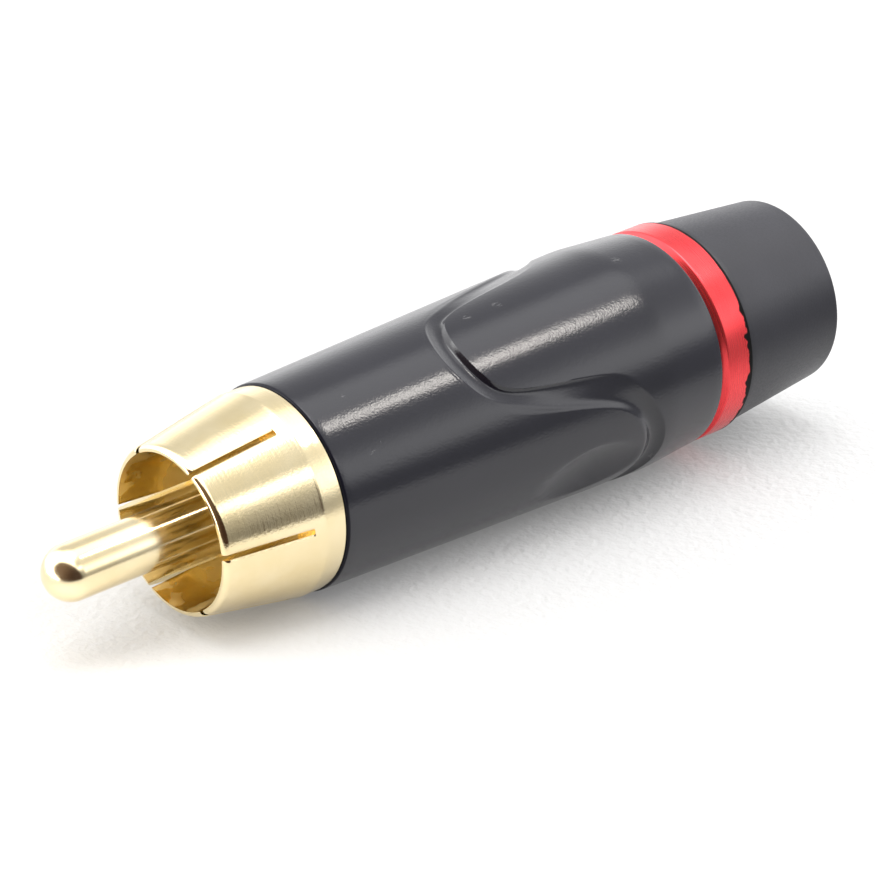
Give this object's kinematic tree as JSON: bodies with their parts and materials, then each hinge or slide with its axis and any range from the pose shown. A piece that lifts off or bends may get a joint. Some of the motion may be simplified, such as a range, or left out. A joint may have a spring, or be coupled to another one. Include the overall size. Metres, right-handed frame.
{
  "type": "phono plug",
  "caption": "Phono plug: domed gold pin in a slotted gold cup, screwed into a black sleeve with a winding grip groove, a red ring and a tapered rear cap that clamps the cord.",
  "frame": {"origin": "centre of the flat rim round the cord hole, which the plug stands on", "axes": "+Z along the plug from the cord end to the pin's tip; -Y faces the side that the picture shows; a slot of the cup lies at +X"},
  "size_m": [0.0134, 0.0134, 0.0531],
  "materials": {
    "gold_shell": "gold plated, bright turned",
    "gold_pin": "gold plated, bright turned",
    "insulator_plastic": "moulded, matte ivory",
    "tag_brass": "tinned sheet",
    "gloss_black": "gloss black paint with a fine orange peel",
    "red_ring": "red anodised, turned",
    "satin_black": "satin black",
    "clamp_plastic": "moulded, matte"
  },
  "bodies": {
    "contact": {"ground_shell": "gold_shell", "centre_pin": "gold_pin", "insulator": "insulator_plastic", "ground_tag": "tag_brass"},
    "clamp": {"cable_clamp": "clamp_plastic"},
    "sleeve": {"grip_sleeve": "gloss_black"},
    "ring": {"colour_ring": "red_ring"},
    "cap": {"rear_cap": "satin_black"}
  },
  "joints": [
    {"name": "sleeve_travel", "type": "slide", "parent": "contact", "child": "clamp", "axis": [0, 0, -1], "range_m": [0, 0.0045]},
    {"name": "sleeve_turn", "type": "hinge", "parent": "clamp", "child": "sleeve", "pos_m": [0, 0, 0.0353], "axis": [0, 0, -1], "range_deg": [0, 2160]},
    {"name": "cap_travel", "type": "slide", "parent": "sleeve", "child": "ring", "axis": [0, 0, -1], "range_m": [0, 0.00375]},
    {"name": "cap_turn", "type": "hinge", "parent": "ring", "child": "cap", "pos_m": [0, 0, 0.006], "axis": [0, 0, -1], "range_deg": [0, 1800]}
  ],
  "couplings": [
    {"joint": "sleeve_travel", "follows": "sleeve_turn", "m_per_rad": 0.00011937},
    {"joint": "cap_travel", "follows": "cap_turn", "m_per_rad": 0.00011937}
  ]
}
